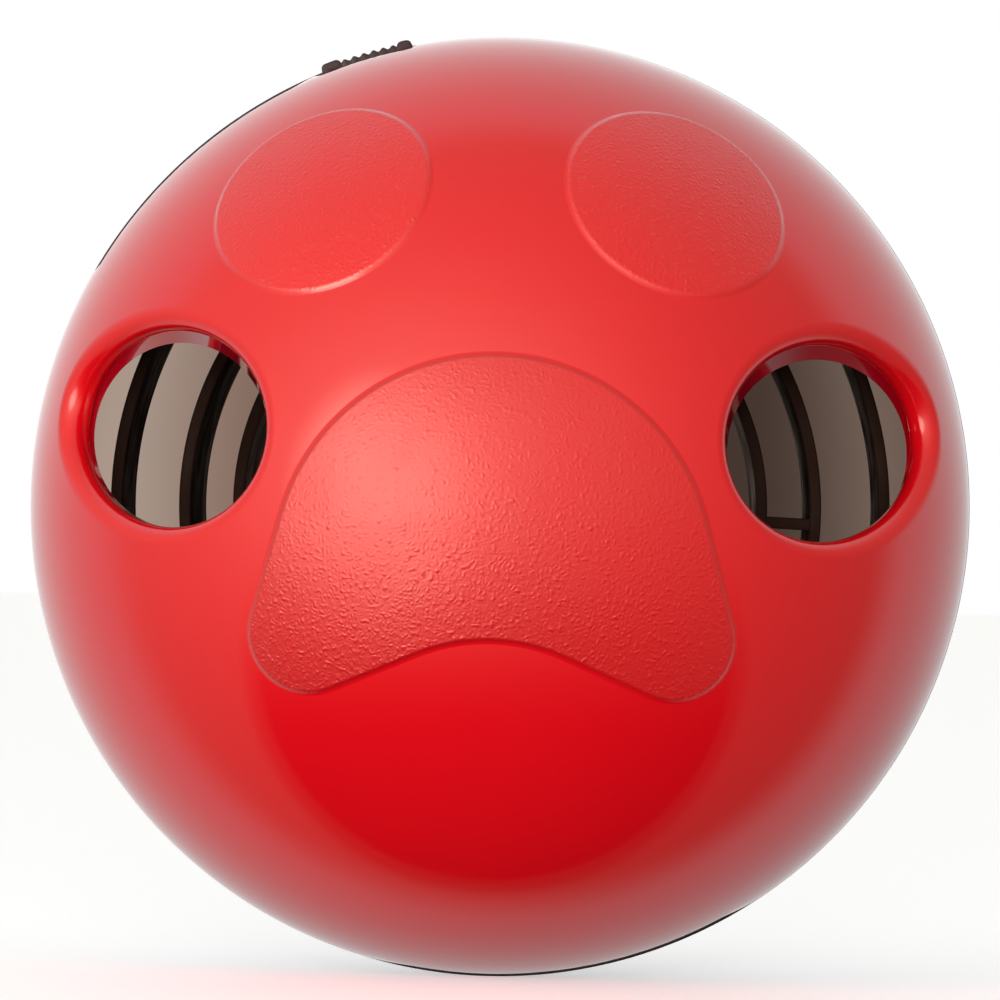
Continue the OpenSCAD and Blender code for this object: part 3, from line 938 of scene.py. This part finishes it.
def new_material(name):
    material = bpy.data.materials.new(name)
    material.use_nodes = True
    tree = material.node_tree
    return material, tree, tree.nodes["Principled BSDF"]


def red_plastic(name):
    """Glossy opaque plastic in a finish, with a leathery grain where the mesh says so."""
    finish = FINISHES_AND_PAINTED_SHADE[name]
    material, tree, shader = new_material("red_plastic_" + name)
    attribute = tree.nodes.new("ShaderNodeAttribute")
    attribute.attribute_name = "grain"
    grain = Value(tree, attribute.outputs["Fac"])
    place = tree.nodes.new("ShaderNodeSeparateXYZ")
    tree.links.new(tree.nodes.new("ShaderNodeTexCoord").outputs["Object"], place.inputs["Vector"])
    strength = Value(tree, place.outputs["Z"]).step(*(z * MM for z in GRAIN_HEIGHTS), 1.0, finish.grain_top)
    tone_and_pad_shade = noise(tree, *BLUSH_NOISE)
    # The pad's red lightens to the right: painted shade on the pad's left, under the soft box's glow
    if name == "pad":
        start, end, least, most = PAD_PAINTED_SHADE_ACROSS
        across = Value(tree, place.outputs["X"]).step(start * MM, end * MM, least, most)
        tone_and_pad_shade = tone_and_pad_shade * PAD_BLUSH_NOISE + across
    tree.links.new(mixed_colour(tree, tone_and_pad_shade, *finish.reds), shader.inputs["Base Color"])
    polish = noise(tree, *POLISH_NOISE).step(*POLISH_RANGE, finish.roughness, finish.roughness + POLISH_RISE)
    (polish + grain * GRAIN_ROUGHNESS).to(shader.inputs["Roughness"])
    wrinkles = noise(tree, *WRINKLE_NOISE)
    fine = noise(tree, *FINE_NOISE)
    bumped(tree, shader, (wrinkles + fine * FINE_SHARE) * grain * strength, GRAIN_DEPTH)
    shader.inputs["IOR"].default_value = RED_IOR
    shader.inputs["Specular IOR Level"].default_value = finish.specular
    shader.inputs["Coat Weight"].default_value = finish.coat
    shader.inputs["Coat Roughness"].default_value = finish.roughness
    return material


def smoke_plastic(name):
    """See-through plastic that gets darker and browner with its thickness."""
    smoke = SMOKES[name]
    material, tree, shader = new_material(name)
    shader.inputs["Base Color"].default_value = (*smoke.base, 1)
    shader.inputs["Transmission Weight"].default_value = smoke.clear
    shader.inputs["Specular IOR Level"].default_value = smoke.specular
    shader.inputs["IOR"].default_value = smoke.ior
    polish = noise(tree, *SMOKE_NOISE).step(*POLISH_RANGE, smoke.roughness, smoke.roughness * SMOKE_ROUGHER)
    polish.to(shader.inputs["Roughness"])
    bumped(tree, shader, noise(tree, *WAVE_NOISE), smoke.wave_depth)
    inside = tree.nodes.new("ShaderNodeVolumeAbsorption")
    inside.inputs["Color"].default_value = (*SMOKE_COLOUR, 1)
    inside.inputs["Density"].default_value = smoke.density
    tree.links.new(inside.outputs["Volume"], tree.nodes["Material Output"].inputs["Volume"])
    return material


def make_camera():
    roll, pitch, yaw = (
        Matrix.Rotation(math.radians(angle), 3, axis)
        for angle, axis in ((CAMERA_ROLL, "Y"), (CAMERA_PITCH, "X"), (CAMERA_YAW, "Z"))
    )
    turn = (roll @ pitch @ yaw).transposed()
    data = bpy.data.cameras.new("camera")
    data.sensor_width = CAMERA_SENSOR
    data.sensor_fit = "HORIZONTAL"
    data.lens = data.sensor_width * CAMERA_DISTANCE * PIXELS_PER_MM / PHOTO_SIZE
    data.shift_x = (PHOTO_SIZE / 2 - BALL_CENTRE_PIXEL[0]) / PHOTO_SIZE
    data.shift_y = (BALL_CENTRE_PIXEL[1] - PHOTO_SIZE / 2) / PHOTO_SIZE
    data.clip_start = CAMERA_CLIP * MM
    camera = link("camera", data)
    right, ahead, up = (turn @ Vector(axis) for axis in ((1, 0, 0), (0, 1, 0), (0, 0, 1)))
    matrix = Matrix((right, up, -ahead)).transposed().to_4x4()
    matrix.translation = -CAMERA_DISTANCE * MM * ahead
    camera.matrix_world = matrix
    bpy.context.scene.camera = camera
    return camera


def make_floor():
    """Pale floor at the lowest point of the ring, which the ball stands on."""
    mesh = bpy.data.meshes.new("floor")
    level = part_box("adjuster_ring")[0].z
    signs = ((-1, -1), (1, -1), (1, 1), (-1, 1))
    mesh.from_pydata([(x * FLOOR_HALF, y * FLOOR_HALF, level) for x, y in signs], [], [(0, 1, 2, 3)])
    floor = link("floor", mesh)
    material, tree, shader = new_material("floor")
    shader.inputs["Base Color"].default_value = (*FLOOR_COLOUR, 1)
    shader.inputs["Roughness"].default_value = FLOOR_ROUGHNESS
    shader.inputs["Emission Color"].default_value = (*WHITE, 1)
    ray = tree.nodes.new("ShaderNodeLightPath")
    (Value(tree, ray.outputs["Is Camera Ray"]) * FLOOR_WHITE).to(shader.inputs["Emission Strength"])
    mesh.materials.append(material)
    floor.visible_glossy = False
    floor.visible_diffuse = False
    floor.visible_transmission = False


def make_world(camera):
    """Studio as the ball mirrors it: a tall soft box, a dark gap low in front and a pale room behind.
    It is fixed to the directions of the photograph's camera and stays there in other views."""
    world = bpy.data.worlds.new("studio")
    bpy.context.scene.world = world
    world.use_nodes = True
    world.cycles.sampling_method = "NONE"
    tree = world.node_tree
    turn = camera.matrix_world.to_3x3()
    right, up, toward = (turn.col[i] for i in range(3))

    def vector_math(operation, one, other=None):
        node = tree.nodes.new("ShaderNodeVectorMath")
        node.operation = operation
        tree.links.new(one, node.inputs[0])
        if other is not None:
            node.inputs[1].default_value = other
        return node

    def along(one, other):
        return Value(tree, vector_math("DOT_PRODUCT", one, other).outputs["Value"])

    ahead = tree.nodes.new("ShaderNodeTexCoord").outputs["Generated"]
    halfway = vector_math("ADD", ahead, toward).outputs["Vector"]
    mirror = vector_math("NORMALIZE", halfway).outputs["Vector"]
    across, height = along(mirror, right), along(mirror, up)

    def room(to_right, upward, middle):
        return across * to_right + height * upward + middle

    def reach(centre, radii):
        u = (across - centre[0]) * (1 / radii[0])
        w = (height - centre[1]) * (1 / radii[1])
        return (u * u + w * w).math("SQRT")

    def spread(centre, radii):
        distance = reach(centre, radii)
        return (distance * distance * -0.5).math("EXPONENT")

    room_front = room(*ROOM_FRONT).math("MAXIMUM", ROOM_FRONT_LEAST)
    room_back = room(*ROOM_BACK)
    behind = reach(BACK_CENTRE, (1, 1)).step(*BACK_EDGE)
    box = reach(BOX_CENTRE, BOX_RADII).step(*BOX_EDGE, BOX_LIGHT, 0.0)
    glow = spread(GLOW_CENTRE, GLOW_RADII) * GLOW_LIGHT
    edge = reach(GAP_CENTRE, GAP_RADII)
    first, second = (edge.step(start, end, share, 0.0) for start, end, share in GAP_EDGES)
    gap = (first + second) * (height * -1).step(*GAP_DEPTHS)
    mirrored = mixed((room_front + box + glow) * gap.rest(), room_back, behind)
    soft = behind * SOFT_BACK + room_front * (behind * -SOFT_FRONT + SOFT_FRONT)

    side = along(ahead, right)
    seen = along(ahead, -toward).step(*SEEN_EDGE)
    below = (along(ahead, up) * -1).step(*BELOW_EDGE)
    shade = side.step(*SHADE_LEFT) + side.step(*SHADE_RIGHT)
    through = (seen * mixed(shade, side.step(*SHADE_BELOW), below)).rest()

    ray = tree.nodes.new("ShaderNodeLightPath")
    glossy, passed, camera_ray = (
        Value(tree, ray.outputs[name]) for name in ("Is Glossy Ray", "Is Transmission Ray", "Is Camera Ray")
    )
    lit = mixed(mixed(soft, mirrored, glossy), through, passed)
    strength = lit * camera_ray.rest() + camera_ray
    background = tree.nodes["Background"]
    colour = mixed_colour(tree, behind.rest() * camera_ray.rest(), WHITE, WARM)
    brown = seen * passed * (side.step(*BROWN_LEFT) + side.step(*BROWN_RIGHT))
    tree.links.new(mixed_colour(tree, brown, colour, BROWN), background.inputs["Color"])
    strength.to(background.inputs["Strength"])


def area_light(name, place, size, power):
    """Soft square lamp that faces the ball's centre."""
    data = bpy.data.lights.new(name, "AREA")
    data.size = size
    data.energy = power
    lamp = link(name, data)
    lamp.location = place
    lamp.rotation_euler = (-Vector(place)).to_track_quat("-Z", "Y").to_euler()
    lamp.visible_glossy = False
    lamp.visible_transmission = False


make_world(make_camera())
make_floor()
for lamp in LAMPS:
    area_light(*lamp)
bpy.context.scene.view_settings.view_transform = "Standard"

smoke, adjuster_smoke, maze_smoke = (smoke_plastic(name) for name in SMOKES)

front = make_front_shell()
tongues = make_tongues()
tongues.data.materials.append(front.data.materials[0])
for piece in (front, tongues):
    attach(piece, "front")
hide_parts("front_shell")

adjuster = make_adjuster()
maze = make_maze()
rear = make_rear_shell()
for piece, material, body, nodes in (
    (adjuster, adjuster_smoke, "adjuster", ("adjuster_ring", "thumb_tab", "shutter_right", "shutter_left")),
    (maze, maze_smoke, "maze", ("maze_wall_outer", "maze_wall_middle", "maze_wall_inner", "maze_dividers")),
    (rear, smoke, "rear", ("rear_shell",)),
):
    piece.data.materials.append(material)
    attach(piece, body)
    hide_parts(*nodes)
